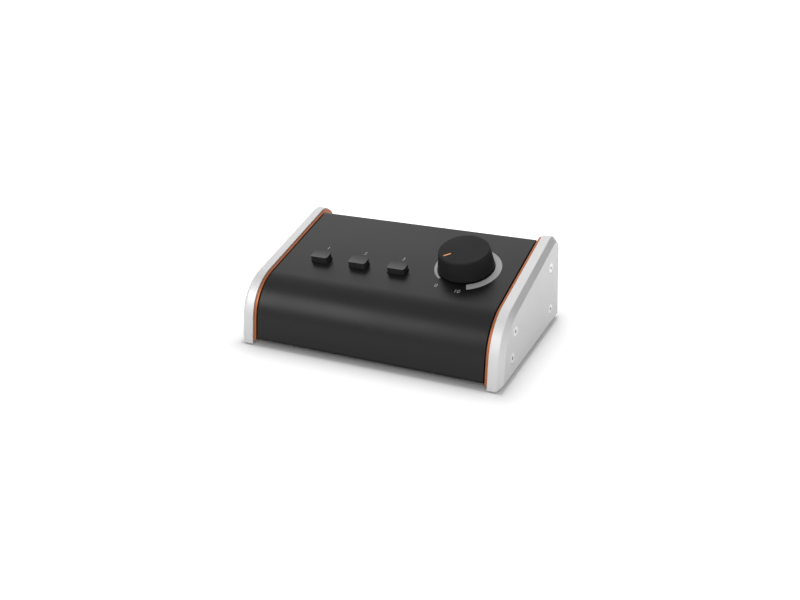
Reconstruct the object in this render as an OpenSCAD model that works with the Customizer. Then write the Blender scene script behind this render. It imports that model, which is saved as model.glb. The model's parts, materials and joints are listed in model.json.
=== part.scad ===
/* [Body] */
// Width between the two cheeks
inner_w = 140; // [130:1:170]
// Depth of the cheeks, front to back
depth = 96.5; // [92:0.5:120]
// Height at the back, where slope and rear would meet
rear_h = 54; // [51:0.5:66]
// Angle of the sloped panel
slope_a = 13.3; // [11:0.1:15]
// Angle by which the front leans back
lean_a = 10; // [6:0.5:14]
// Radius of the shoulder between panel and front
shoulder_r = 27.5; // [20:0.5:30]
// Radius of the upper rear corner of the cheeks
rear_r = 9; // [5:0.5:12]
// Gap between the cheeks and the table
ride_h = 0.8; // [0.5:0.1:2]

/* [Cheeks] */
// Thickness of a cheek
cheek_t = 8; // [6:0.1:12]
// Chamfer round the outer edge of a cheek
cheek_chamfer = 2.8; // [1:0.1:3.5]
// Thickness of the coloured spacer plates
trim_t = 1.6; // [1:0.1:2.5]
// How far a spacer plate lies below the edge of its cheek
trim_step = 0.9; // [0.5:0.1:1.5]
// Distance of the rear cheek screws from the rear edge
screw_rear = 16.25; // [15.5:0.25:20]
// Height of the upper rear cheek screw
screw_rear_z = 36.2; // [30:0.1:37]
// Distance of the lower front cheek screw from the front edge
screw_front = 17.2; // [14:0.1:22]
// Height of the two lower cheek screws
screw_low_z = 11.4; // [10.5:0.1:14]
// Distance of the upper front cheek screw from the front edge
screw_shoulder = 21.7; // [18:0.1:26]
// Height of the upper front cheek screw
screw_shoulder_z = 24.5; // [20:0.1:26]
// Thread diameter of the screws
screw_d = 3; // [2.5:0.1:3.2]

/* [Cover and tray] */
// Sheet thickness of the cover
cover_t = 1.5; // [1:0.1:2]
// How far the cover lies below the edge of the cheeks
cover_step = 1.0; // [0.5:0.1:1.5]
// Groove between the cover and a spacer plate
groove_w = 0.8; // [0.4:0.1:1.2]
// Height of the lower edge of the cover over the lower edge of the cheeks
cover_z = 1.8; // [1.8:0.1:3]
// Distance from the rear edge of the cheeks to the rear of the cover
rear_set = 10.25; // [8:0.25:12]
// Radius of the folds of the cover, outside
fold_r = 2; // [1.6:0.1:3]
// Height of the lip of the cover down the rear wall
rear_lip = 9; // [8:0.5:10]
// Depth of the lip of the cover under the floor
floor_lip = 14; // [12:0.5:16]
// Sheet thickness of the tray
tray_t = 1.2; // [1:0.1:1.6]

/* [Knob] */
// Diameter of the knob at its base
knob_d = 31.5; // [28:0.1:34]
// Diameter of the knob at its top
knob_top_d = 28.2; // [24:0.1:28.5]
// Height of the knob over the panel
knob_h = 11.9; // [11:0.1:16]
// Gap under the knob
knob_gap = 0.7; // [0.4:0.1:1]
// Sideways place of the knob
knob_x = 39; // [30:0.5:42]
// Distance of the knob's axis down the slope from the rear corner
knob_s = 46.5; // [46:0.1:50]
// Shaft diameter
shaft_d = 6; // [5.5:0.1:6.3]
// Where the pointer starts, from the axis
pointer_in = 7.6; // [7:0.1:9]
// Length of the pointer
pointer_l = 4.4; // [3:0.1:5]
// Direction of the pointer, from the right towards the back
pointer_a = -137; // [-150:1:-120]

/* [Buttons] */
// Width of a button cap
button_w = 10.6; // [8.5:0.1:11]
// Depth of a button cap
button_l = 6.6; // [6:0.1:9]
// Height of a button cap over the panel
button_h = 4.2; // [3.2:0.1:6]
// Travel of a button
button_travel = 2.5; // [1.5:0.1:2.8]
// Sideways place of the left button
button_x = -44.8; // [-46:0.1:-40]
// Distance between buttons
button_pitch = 24.1; // [20:0.1:25]
// Distance of the buttons down the slope from the rear corner
button_s = 58.8; // [57:0.1:62]

/* [Sockets] */
// Height of the middle of the big sockets over the lower edge of the cheeks
socket_z = 22.5; // [22:0.1:24]
// Distance between neighbouring big sockets
socket_pitch = 27; // [26:0.1:28]
// Distance from the middle to the inner sockets
socket_x = 25; // [24:0.1:26]
// Outer diameter of a socket's collar
collar_d = 23.4; // [23:0.1:24]
// Diameter of the round space for an XLR plug
plug_d = 19.2; // [19:0.05:19.6]
// Bore for a 6.35 mm plug
jack_d = 6.5; // [6.4:0.05:6.6]
// Bore for a 3.5 mm plug
mini_d = 3.6; // [3.55:0.05:3.7]
// Travel of a latch tab
latch_travel = 1.5; // [1:0.1:1.6]

/* [Inside] */
// Thickness of the boards
board_t = 1.6; // [1:0.1:2]
// Height of the potentiometer's case
pot_h = 11.6; // [11:0.1:12.5]
// Diameter of the potentiometer's case
pot_d = 16; // [14:0.1:16.4]
// Height of the spacers under the main board
spacer_h = 3.9; // [3:0.1:5]
// Diameter of a rubber foot
foot_d = 10; // [8:0.5:12]

/* [Hidden] */
$fn = 96;

// Clearances
run_gap = 0.05;      // round a shaft or stem that moves
seat_gap = 0.3;      // between pieces that lie side by side
hole_gap = 0.2;      // round a screw in a plain hole
window_gap = 0.3;    // round a button cap
overlap = 0.5;       // how far a cut runs past a face

// Levels over the lower edge of the cheeks
tray_z = cover_z + cover_t;
floor_top = tray_z + tray_t;
board_z = floor_top + spacer_h;
board_top = board_z + board_t;

// Places across the body
half_w = inner_w / 2;
trim_x = half_w - trim_t;
cover_half = trim_x - groove_w;
wall_in = trim_x - tray_t;

// Places from front to back
cover_rear = depth / 2 - rear_set;
wall_rear = cover_rear - cover_t;
wall_front = wall_rear - tray_t;
tray_step = cover_step + cover_t + seat_gap;
inner_fold_r = fold_r - cover_t;
tray_front = front_y(tray_z, tray_step) + inner_fold_r;
tray_wall_top = slope_z(wall_rear, cover_step + cover_t) - inner_fold_r - seat_gap;

// Screws and nuts
hex_d = 0.75 * screw_d;
sink_d = 1.9 * screw_d;
sink_h = (sink_d - screw_d) / 2;
sink_set = 0.15;     // how far a sunk head lies below the face
nut_d = 1.8 * screw_d;
nut_h = 2;
cheek_screw_l = cheek_t + trim_t + tray_t + nut_h - 1;

// Places of the four cheek screws, from the side
cheek_points = [
  [depth / 2 - screw_rear, screw_rear_z],
  [depth / 2 - screw_rear, screw_low_z],
  [-depth / 2 + screw_shoulder, screw_shoulder_z],
  [-depth / 2 + screw_front, screw_low_z]
];

// Cover screws: two through the rear lip, two through the lip under the floor
rear_screw_inset = 9;
floor_screw_inset = 22;
lip_edge = 5;        // from a floor screw to the rear edge of the lip
rear_screw_x = cover_half - rear_screw_inset;
rear_screw_z = slope_z(wall_front - nut_h, cover_step + cover_t) - nut_d / 2 - seat_gap;
floor_screw_x = cover_half - floor_screw_inset;
floor_screw_y = front_y(cover_z, cover_step) + floor_lip - lip_edge;

// Feet, the front ones behind the lip under the floor
foot_inset = 12;
foot_clear = 2.75;
foot_x = cover_half - foot_inset;
foot_y = depth / 2 - floor_lip - foot_d / 2 - foot_clear;

// Levels over the panel, measured along its normal
pot_seat = -cover_t;
panel_board_top = pot_seat - pot_h;
bush_top = 3.2;
washer_h = 0.6;
pot_nut_h = 2.2;
cap_skirt = 2.6;
rim_h = 0.5;
switch_top = -cap_skirt - rim_h - button_travel - seat_gap;

// Potentiometer and knob
bush_d = 8;
bush_flange_t = 1;
lug_d = 2.6;
lug_r = 7.2;
knob_wall = 2.2;
knob_roof = 2;
knob_boss_d = 11;
shaft_flat = 1.4;
shaft_top = knob_h - knob_roof - 0.1;
slot_w = 1.1;
slot_h = 0.6;
rotor_d = pot_d - 4;
rotor_t = 1.2;
rotor_z = pot_seat - 5.2;
pivot_d = 4;
wafer_t = 1.2;
wafer_z = rotor_z - 1 - wafer_t;

// Buttons and switches
button_r = 1.4;
dish_r = 22;
dish_h = 0.35;
stem_w = 3;
stem_top = button_h - 1.6;
stem_foot = switch_top - 3.4;
switch_w = 8;
lead_d = 0.8;
lead_points = [for (x = [-2.5, 0, 2.5], y = [-2, 2]) [x, y]];

// Panel board, its edges given down the slope from the rear corner
margin_front = 9;    // from the middle of the buttons to the front edge
margin_back = 8;     // and to the back edge
margin_left = 12;    // from the middle of the left button to the left edge
margin_right = 13;   // from the knob's axis to the right edge
tongue_left = 10;    // from the knob's axis to the left side of the tongue under it
tongue_back = 0.2;   // how far the tongue ends short of the case's rear
hole_edge = 4;       // from a hole to the board's edge
spacer_beside = 10;  // from the middle of the right button to the spacer beside it
spacer_d = 5;
spacer_tap = 5.5;
panel_screw_l = board_t + spacer_tap - 2;
board_front_s = button_s + margin_front;
board_back_s = button_s - margin_back;
pot_back_s = knob_s - pot_d / 2 + tongue_back;
board_left = button_x - margin_left;
board_right = knob_x + margin_right;
panel_spacer_points = [
  [board_left + hole_edge, board_front_s - hole_edge],
  [board_left + hole_edge, board_back_s + hole_edge],
  [button_x + 2 * button_pitch + spacer_beside, board_front_s - hole_edge],
  [board_right - hole_edge, board_front_s - hole_edge]
];

// Big sockets
outputs = [socket_x, socket_x + socket_pitch];
inputs = [-socket_x - socket_pitch, -socket_x];
big_sockets = concat(inputs, outputs);
socket_w = collar_d + 1.2;
socket_l = 21;
socket_front = wall_front - socket_l;
socket_up = 15.6;
collar_h = 1.6;
plug_l = 15;
socket_floor = 1.8;  // behind the plug space
socket_body_l = plug_l - collar_h - tray_t + socket_floor;
socket_back_up = 6.2;
socket_back_w = socket_w - 4;
insert_d = 15.8;
pin_d = 2.4;
pin_circle = 9.9;
pin_angles = [30, 150, 270];
tail_d = 9.5;
tail_l = 16;
latch_w = 6;
latch_h = 2.6;
latch_up = 13.6;
latch_in = 6;
latch_out = 2.6;
tap_d = 2.6;
tap_l = 9;
tap_points = [[-10, 10.4], [10, -10.4]];

// Small socket
mini_x = 0;
mini_up = 5;
mini_z = board_top + mini_up;
mini_w = 12;
mini_l = 12;
mini_nose_d = 6;
mini_nose_l = 3.4;
mini_nut_h = 2;

// Main board
main_side_gap = 5.2; // room for the cheek nuts
main_hole_side = 3.5;
main_hole_back = 5;
main_half = wall_in - main_side_gap;
main_front = -22;
main_rear = wall_front - 0.5;
spacer_x = main_half - main_hole_side;
main_spacer_points = [
  for (x = [-1, 1], y = [main_front + hole_edge, socket_front - main_hole_back]) [x * spacer_x, y]
];

// Ribbon cable: a run along the main board, a bend, and a run along the panel board
ribbon_t = 0.9;
ribbon_w = 12.7;
ribbon_x = button_x + 1.5 * button_pitch;
ribbon_bend_y = -5;
ribbon_run = 6;
plug_w = 14;
plug_h = 2.4;
header_h = 2.6;
stack_h = header_h + plug_h;
ribbon_z = board_top + stack_h + ribbon_t / 2;
ribbon_h = panel_board_top - board_t - stack_h - ribbon_t / 2;
along = [cos(slope_a), sin(slope_a)];
normal = [-sin(slope_a), cos(slope_a)];
panel_origin = [depth / 2, rear_h] - cover_step * normal;
// both runs are tangent to the bend
bend_r = (ribbon_h - ([ribbon_bend_y, ribbon_z] - panel_origin) * normal) / (1 + cos(slope_a));
bend_c = [ribbon_bend_y, ribbon_z + bend_r];
bend_s = (panel_origin - bend_c) * along;

function unit(v) = v / norm(v);

function turned(v, a) = [v.x * cos(a) - v.y * sin(a), v.x * sin(a) + v.y * cos(a)];

// One corner of an outline: the corner itself, or an arc that touches both of its sides
function corner(points, i, r) = let (
  v = points[i],
  a = unit(points[(i + len(points) - 1) % len(points)] - v),
  b = unit(points[(i + 1) % len(points)] - v),
  half = acos(a * b) / 2,
  c = v + unit(a + b) * r / sin(half),
  start = v + a * r / tan(half) - c,
  turn = -sign(cross(a, b)) * (180 - 2 * half),
  steps = ceil($fn * abs(turn) / 360)
) r == 0 ? [v] : [for (k = [0:steps]) c + turned(start, turn * k / steps)];

// A convex outline with a round at each corner that has a radius
module soft_polygon(points, radii)
  polygon([for (i = [0:len(points) - 1]) each corner(points, i, radii[i])]);

// Height of the slope at a place y, a step below the cheek's own slope
function slope_z(y, step) = rear_h - (depth / 2 - y) * tan(slope_a) - step / cos(slope_a);

// Place of the front at a height z, a step behind the cheek's own front
function front_y(z, step) = -depth / 2 + z * tan(lean_a) + step / cos(lean_a);

// Side view of the wedge, a step inside the cheek's outline
module side_view(step, floor_z, rear_y, corner_r, toe_r) {
  // the slope and the front meet where one line gives the other's place
  drop = slope_z(0, step);
  y_v = (front_y(0, step) + tan(lean_a) * drop) / (1 - tan(lean_a) * tan(slope_a));
  points = [
    [front_y(floor_z, step), floor_z],
    [y_v, slope_z(y_v, step)],
    [rear_y, slope_z(rear_y, step)],
    [rear_y, floor_z]
  ];
  soft_polygon(points, [toe_r, shoulder_r - step, corner_r, 0]);
}

// Lifts a piece off the table, from the cheeks' lower edge
module raised() translate([0, 0, ride_h]) children();

// Stands a side view up across the body, from x to x + w
module across(x, w) translate([x, 0, 0]) rotate([90, 0, 90]) linear_extrude(w) children();

// Places a thing on the panel's face: x across, s down the slope, +Z along the panel's normal
module on_panel(x, s) raised()
  translate([x, panel_origin.x, panel_origin.y]) rotate([slope_a, 0, 0]) translate([0, -s, 0]) children();

// Places a thing on the rear wall's outer face, +Z pointing out of the back
module on_rear(x, z) raised() translate([x, wall_rear, z]) rotate([-90, 180, 0]) children();

module rounded_rect(w, l, r) soft_polygon(
  [[-w / 2, -l / 2], [-w / 2, l / 2], [w / 2, l / 2], [w / 2, -l / 2]], [r, r, r, r]);

module slab(x0, x1, y0, y1, z0, z1) translate([x0, y0, z0]) cube([x1 - x0, y1 - y0, z1 - z0]);

// A pan-head screw along -Z, its head standing on z = 0
module pan_screw(l, d = screw_d) difference() {
  union() {
    translate([0, 0, -l]) cylinder(d = d, h = l);
    cylinder(d = 1.9 * d, h = 0.6 * d);
  }
  cross_slot(d);
}

module cross_slot(d) for (a = [0, 90]) rotate([0, 0, a])
  translate([-0.55 * d, -0.12 * d, 0.25 * d]) cube([1.1 * d, 0.24 * d, d]);

// One thing at each screw of both cheeks, +Z pointing out of the cheek at the spacer's inner face
module at_cheek_screws(sides) raised() for (side = sides, p = cheek_points)
  translate([side * trim_x, p.x, p.y]) rotate([0, side * 90, 0]) children();

/* ---- outside ---- */

module cover_section() difference() {
  side_view(cover_step, cover_z, cover_rear, fold_r, fold_r);
  side_view(cover_step + cover_t, tray_z, wall_rear, inner_fold_r, inner_fold_r);
  // open below, behind the floor lip
  translate([front_y(cover_z, cover_step) + floor_lip, cover_z - overlap])
    square([depth, cover_t + 2 * overlap]);
  // open at the back, below the rear lip
  translate([wall_rear - overlap, cover_z - overlap])
    square([cover_t + 2 * overlap, slope_z(cover_rear, cover_step) - rear_lip - cover_z + overlap]);
}

module panel_openings() {
  on_panel(knob_x, knob_s) translate([0, 0, -cover_t - overlap])
    cylinder(d = bush_d + 2 * hole_gap, h = cover_t + 2 * overlap);
  on_panel(knob_x, knob_s) translate([-lug_r, 0, -cover_t - overlap])
    cylinder(d = lug_d + 2 * hole_gap, h = cover_t + 2 * overlap);
  for (i = [0:2]) on_panel(button_x + i * button_pitch, button_s)
    translate([0, 0, -cover_t - overlap]) linear_extrude(cover_t + 2 * overlap)
      rounded_rect(button_w + 2 * window_gap, button_l + 2 * window_gap, button_r + window_gap);
}

module top_cover() color([0.17, 0.17, 0.18]) difference() {
  raised() across(-cover_half, 2 * cover_half) cover_section();
  panel_openings();
  at_cover_screws() translate([0, 0, -cover_t - overlap])
    cylinder(d = screw_d + 2 * hole_gap, h = cover_t + 2 * overlap);
}

// Floor and rear wall of the tray, from the side
module tray_section() difference() {
  soft_polygon([[tray_front, tray_z], [tray_front, tray_wall_top], [wall_rear, tray_wall_top],
    [wall_rear, tray_z]], [0, 0, 0, fold_r]);
  soft_polygon([[tray_front - overlap, floor_top], [tray_front - overlap, tray_wall_top + overlap],
    [wall_front, tray_wall_top + overlap], [wall_front, floor_top]], [0, 0, 0, fold_r - tray_t]);
}

module chassis_tray() color([0.12, 0.12, 0.13]) difference() {
  raised() union() {
    across(-trim_x, 2 * trim_x) tray_section();
    for (x = [-trim_x, wall_in]) across(x, tray_t) side_view(tray_step, tray_z, wall_rear, fold_r, fold_r);
  }
  at_cheek_screws([-1, 1]) translate([0, 0, -tray_t - overlap])
    cylinder(d = screw_d + 2 * hole_gap, h = tray_t + 2 * overlap);
  at_cover_screws() translate([0, 0, -cover_t - tray_t - overlap])
    cylinder(d = screw_d + 2 * hole_gap, h = cover_t + tray_t + 2 * overlap);
  for (x = big_sockets) on_rear(x, socket_z) translate([0, 0, -tray_t - overlap])
    cylinder(d = collar_d + 2 * hole_gap, h = tray_t + 2 * overlap);
  for (x = inputs) on_rear(x, socket_z)
    slab(-latch_w / 2 - window_gap, latch_w / 2 + window_gap, collar_d / 2 - 1,
      latch_up + latch_h / 2 + window_gap, -tray_t - overlap, overlap);
  on_rear(mini_x, mini_z) translate([0, 0, -tray_t - overlap])
    cylinder(d = mini_nose_d + 2 * hole_gap, h = tray_t + 2 * overlap);
  at_socket_screws() translate([0, 0, -tray_t - overlap])
    cylinder(d = tap_d + 2 * hole_gap, h = tray_t + 2 * overlap);
}

// The right cheek; the left one is its mirror image
module cheek() difference() {
  raised() hull() {
    across(half_w, cheek_t - cheek_chamfer) side_view(0, 0, depth / 2, rear_r, 0);
    across(half_w, cheek_t)
      side_view(cheek_chamfer, cheek_chamfer, depth / 2 - cheek_chamfer, rear_r - cheek_chamfer, 0);
  }
  at_cheek_screws([1]) cylinder(d = screw_d + 2 * hole_gap, h = trim_t + cheek_t + overlap);
  at_cheek_screws([1]) translate([0, 0, trim_t + cheek_t - sink_h])
    cylinder(d1 = screw_d + 2 * hole_gap, d2 = sink_d + 2 * hole_gap, h = sink_h + 0.01);
}

module right_cheek() color([0.8, 0.8, 0.81]) cheek();
module left_cheek() color([0.8, 0.8, 0.81]) mirror([1, 0, 0]) cheek();

module trim_plate() difference() {
  raised() across(trim_x, trim_t)
    side_view(trim_step, cover_z, depth / 2 - trim_step, rear_r - trim_step, 0);
  at_cheek_screws([1]) translate([0, 0, -overlap])
    cylinder(d = screw_d + 2 * hole_gap, h = trim_t + 2 * overlap);
}

module right_trim_plate() color([0.85, 0.42, 0.12]) trim_plate();
module left_trim_plate() color([0.85, 0.42, 0.12]) mirror([1, 0, 0]) trim_plate();

module cheek_screws() color([0.2, 0.2, 0.21]) at_cheek_screws([-1, 1])
  translate([0, 0, trim_t + cheek_t - sink_set]) difference() {
    union() {
      translate([0, 0, -cheek_screw_l]) cylinder(d = screw_d, h = cheek_screw_l);
      translate([0, 0, -sink_h]) cylinder(d1 = screw_d, d2 = sink_d, h = sink_h);
    }
    translate([0, 0, -1.2]) cylinder(d = hex_d, h = 2, $fn = 6);
  }

module cheek_nuts() color([0.7, 0.7, 0.7]) at_cheek_screws([-1, 1])
  translate([0, 0, -tray_t - nut_h]) difference() {
    cylinder(d = nut_d, h = nut_h);
    translate([0, 0, -overlap]) cylinder(d = screw_d + 2 * run_gap, h = nut_h + 2 * overlap);
  }

module at_cover_screws() {
  for (side = [-1, 1]) {
    on_rear(side * rear_screw_x, rear_screw_z) translate([0, 0, cover_t]) children();
    raised() translate([side * floor_screw_x, floor_screw_y, cover_z]) rotate([180, 0, 0]) children();
  }
}

module cover_screws() color([0.15, 0.15, 0.16]) at_cover_screws() pan_screw(cover_t + tray_t + nut_h - 0.2);

module cover_nuts() color([0.7, 0.7, 0.7]) at_cover_screws()
  translate([0, 0, -cover_t - tray_t - nut_h]) difference() {
    cylinder(d = nut_d, h = nut_h);
    translate([0, 0, -overlap]) cylinder(d = screw_d + 2 * run_gap, h = nut_h + 2 * overlap);
  }

module foot(sx, sy) color([0.1, 0.1, 0.1]) translate([sx * foot_x, sy * foot_y, 0])
  rotate_extrude() soft_polygon(
    [[0, 0], [0, ride_h + tray_z], [foot_d / 2, ride_h + tray_z], [foot_d / 2 - 0.6, 0]], [0, 0, 0, 0.5]);

module foot_front_left() foot(-1, -1);
module foot_front_right() foot(1, -1);
module foot_rear_left() foot(-1, 1);
module foot_rear_right() foot(1, 1);

/* ---- knob and potentiometer ---- */

// The round part of the shaft with its flat, as seen along the axis
module shaft_shape(d, flat) difference() {
  circle(d = d);
  translate([d / 2 - flat, -d]) square([d, 2 * d]);
}

module volume_knob() color([0.13, 0.13, 0.14]) on_panel(knob_x, knob_s) difference() {
  rotate_extrude() soft_polygon(
    [[0, knob_gap], [0, knob_h], [knob_top_d / 2, knob_h], [knob_d / 2, knob_gap]], [0, 0, 0.9, 0.4]);
  // hollow underside, up to the roof, round the boss
  difference() {
    translate([0, 0, knob_gap - overlap]) cylinder(d1 = knob_d - 2 * knob_wall,
      d2 = knob_top_d - 2 * knob_wall, h = knob_h - knob_roof - knob_gap + overlap);
    translate([0, 0, bush_top + 0.4]) cylinder(d = knob_boss_d, h = knob_h);
    for (a = [0:60:300]) rotate([0, 0, a + 30]) slab(0, knob_d, -0.5, 0.5, bush_top + 2, knob_h);
  }
  rotate([0, 0, pointer_a]) translate([0, 0, bush_top])
    linear_extrude(knob_h - knob_roof - bush_top) shaft_shape(shaft_d + 2 * run_gap, shaft_flat);
  pointer_shape(slot_h, 0);
}

module pointer_shape(h, gap) rotate([0, 0, pointer_a])
  slab(pointer_in + gap, pointer_in + pointer_l - gap, -slot_w / 2 + gap, slot_w / 2 - gap,
    knob_h - slot_h, knob_h - slot_h + h + (gap > 0 ? 0 : overlap));

module knob_pointer() color([0.95, 0.5, 0.2]) on_panel(knob_x, knob_s) pointer_shape(slot_h, 0.03);

module pot_shaft() color([0.75, 0.75, 0.75]) on_panel(knob_x, knob_s) rotate([0, 0, pointer_a]) union() {
  translate([0, 0, bush_top]) linear_extrude(shaft_top - bush_top) shaft_shape(shaft_d, shaft_flat + run_gap);
  translate([0, 0, rotor_z]) cylinder(d = shaft_d, h = bush_top + seat_gap - rotor_z);
  translate([0, 0, rotor_z]) cylinder(d = rotor_d, h = rotor_t);
  translate([0, 0, wafer_z - 2]) cylinder(d = pivot_d, h = rotor_z - wafer_z + 2.5);
}

module pot_bush() color([0.78, 0.76, 0.7]) on_panel(knob_x, knob_s) difference() {
  union() {
    translate([0, 0, pot_seat - bush_flange_t]) cylinder(d = pot_d, h = bush_flange_t);
    translate([0, 0, pot_seat - bush_flange_t - 1.6]) cylinder(d = bush_d + 2, h = 2);
    translate([0, 0, pot_seat - bush_flange_t]) cylinder(d = bush_d, h = bush_top - pot_seat + bush_flange_t);
    translate([-lug_r, 0, pot_seat - bush_flange_t]) cylinder(d = lug_d, h = bush_flange_t + cover_t - 0.4);
  }
  translate([0, 0, pot_seat - 2 * bush_flange_t - 2])
    cylinder(d = shaft_d + 2 * run_gap, h = bush_top - pot_seat + 8);
}

module pot_case() color([0.6, 0.6, 0.62]) on_panel(knob_x, knob_s) difference() {
  translate([0, 0, panel_board_top]) cylinder(d = pot_d, h = pot_h - bush_flange_t);
  translate([0, 0, wafer_z]) cylinder(d = pot_d - 2, h = pot_seat - wafer_z);
  translate([0, 0, wafer_z - 2.4]) cylinder(d = pivot_d + 4 * run_gap, h = 4);
}

// Resistor wafer on the floor of the case
module pot_wafers() color([0.45, 0.28, 0.15]) on_panel(knob_x, knob_s) difference() {
  translate([0, 0, wafer_z]) cylinder(d = pot_d - 2 - 2 * run_gap, h = wafer_t);
  translate([0, 0, wafer_z - overlap]) cylinder(d = pivot_d + 2 * seat_gap, h = wafer_t + 2 * overlap);
}

module pot_washer() color([0.75, 0.75, 0.75]) on_panel(knob_x, knob_s) difference() {
  cylinder(d = bush_d + 4, h = washer_h);
  translate([0, 0, -overlap]) cylinder(d = bush_d + 2 * hole_gap, h = washer_h + 2 * overlap);
}

module pot_nut() color([0.75, 0.75, 0.75]) on_panel(knob_x, knob_s) translate([0, 0, washer_h])
  difference() {
    cylinder(d = (bush_d + 3) / cos(30), h = pot_nut_h, $fn = 6);
    translate([0, 0, -overlap]) cylinder(d = bush_d + 2 * run_gap, h = pot_nut_h + 2 * overlap);
  }

/* ---- buttons and switches ---- */

module button_cap(i) color([0.1, 0.1, 0.1]) on_panel(button_x + i * button_pitch, button_s) difference() {
  hull() {
    translate([0, 0, -cap_skirt]) linear_extrude(cap_skirt + button_h - 0.5)
      rounded_rect(button_w, button_l, button_r, $fn = 32);
    linear_extrude(button_h) rounded_rect(button_w - 0.8, button_l - 0.8, button_r - 0.4, $fn = 32);
  }
  // dished top
  translate([0, 0, button_h + dish_r - dish_h]) rotate([0, 90, 0])
    cylinder(r = dish_r, h = 2 * button_w, center = true);
  // socket for the plunger
  slab(-stem_w / 2 - run_gap, stem_w / 2 + run_gap, -stem_w / 2 - run_gap, stem_w / 2 + run_gap,
    -cap_skirt - overlap, stem_top);
}

module button_cap_1() button_cap(0);
module button_cap_2() button_cap(1);
module button_cap_3() button_cap(2);

module switch_plunger(i) color([0.85, 0.85, 0.83]) on_panel(button_x + i * button_pitch, button_s) union() {
  slab(-stem_w / 2, stem_w / 2, -stem_w / 2, stem_w / 2, stem_foot, stem_top);
  slab(-stem_w / 2 - 0.7, stem_w / 2 + 0.7, -stem_w / 2, stem_w / 2, -cap_skirt - rim_h, -cap_skirt);
}

module switch_plunger_1() switch_plunger(0);
module switch_plunger_2() switch_plunger(1);
module switch_plunger_3() switch_plunger(2);

module switch_body(i) color([0.25, 0.25, 0.26]) on_panel(button_x + i * button_pitch, button_s)
  difference() {
    union() {
      slab(-switch_w / 2, switch_w / 2, -switch_w / 2, switch_w / 2, panel_board_top, switch_top);
      for (p = lead_points) translate([p.x, p.y, panel_board_top - board_t - 1])
        cylinder(d = lead_d, h = board_t + 2);
    }
    slab(-stem_w / 2 - run_gap, stem_w / 2 + run_gap, -stem_w / 2 - run_gap, stem_w / 2 + run_gap,
      stem_foot - button_travel - 0.4, switch_top + overlap);
  }

module switch_body_1() switch_body(0);
module switch_body_2() switch_body(1);
module switch_body_3() switch_body(2);

/* ---- boards ---- */

module panel_board() color([0.1, 0.35, 0.2]) on_panel(0, 0) difference() {
  translate([0, 0, panel_board_top - board_t]) union() {
    slab(board_left, board_right, -board_front_s, -board_back_s, 0, board_t);
    slab(knob_x - tongue_left, board_right, -board_front_s, -pot_back_s, 0, board_t);
  }
  for (i = [0:2], p = lead_points)
    translate([button_x + i * button_pitch + p.x, p.y - button_s, panel_board_top - board_t - overlap])
      cylinder(d = lead_d + 2 * run_gap, h = board_t + 2 * overlap);
  for (p = panel_spacer_points) translate([p.x, -p.y, panel_board_top - board_t - overlap])
    cylinder(d = screw_d + 2 * hole_gap, h = board_t + 2 * overlap);
}

module panel_spacers() color([0.8, 0.7, 0.4]) on_panel(0, 0) for (p = panel_spacer_points)
  translate([p.x, -p.y, panel_board_top]) difference() {
    cylinder(d = spacer_d / cos(30), h = pot_h, $fn = 6);
    translate([0, 0, -overlap]) cylinder(d = screw_d + 2 * run_gap, h = spacer_tap + overlap);
  }

module panel_board_screws() color([0.7, 0.7, 0.7]) on_panel(0, 0) for (p = panel_spacer_points)
  translate([p.x, -p.y, panel_board_top - board_t]) rotate([180, 0, 0]) pan_screw(panel_screw_l);

module main_board() color([0.1, 0.35, 0.2]) raised() difference() {
  slab(-main_half, main_half, main_front, main_rear, board_z, board_top);
  for (p = main_spacer_points) translate([p.x, p.y, board_z - overlap])
    cylinder(d = screw_d + 2 * hole_gap, h = board_t + 2 * overlap);
}

module main_spacers() color([0.8, 0.7, 0.4]) raised() for (p = main_spacer_points)
  translate([p.x, p.y, floor_top]) difference() {
    cylinder(d = spacer_d / cos(30), h = spacer_h, $fn = 6);
    translate([0, 0, -overlap]) cylinder(d = screw_d + 2 * run_gap, h = spacer_h + 2 * overlap);
  }

module main_board_screws() color([0.7, 0.7, 0.7]) raised() for (p = main_spacer_points)
  translate([p.x, p.y, board_top]) pan_screw(board_t + spacer_h - 0.3);

/* ---- sockets at the back ---- */

module at_socket_screws() for (x = big_sockets, p = tap_points) on_rear(x, socket_z)
  translate([p.x, p.y, 0]) children();

// Housing behind the wall, lower behind the plug space, with its collar through the wall
module socket_housing() difference() {
  union() {
    slab(-socket_w / 2, socket_w / 2, board_top - socket_z, socket_up, -tray_t - socket_body_l, -tray_t);
    slab(-socket_back_w / 2, socket_back_w / 2, board_top - socket_z, socket_back_up,
      -tray_t - socket_l, -tray_t - socket_body_l + overlap);
    translate([0, 0, -tray_t]) cylinder(d = collar_d, h = tray_t + collar_h);
  }
  translate([0, 0, collar_h - plug_l]) cylinder(d = plug_d, h = plug_l + overlap);
  for (p = tap_points) translate([p.x, p.y, -tap_l - 0.5])
    cylinder(d = tap_d + 2 * run_gap, h = tap_l + 1);
}

module input_socket(x) color([0.13, 0.13, 0.14]) on_rear(x, socket_z) difference() {
  socket_housing();
  translate([0, 0, -tray_t - socket_l - overlap])
    cylinder(d = tail_d + 2 * run_gap, h = socket_l);
  slab(-latch_w / 2 - window_gap, latch_w / 2 + window_gap, latch_up - latch_h / 2 - window_gap,
    latch_up + latch_h / 2 + window_gap, -tray_t - latch_in - latch_travel - window_gap, 0);
}

module input_socket_left() input_socket(inputs[0]);
module input_socket_right() input_socket(inputs[1]);

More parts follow.
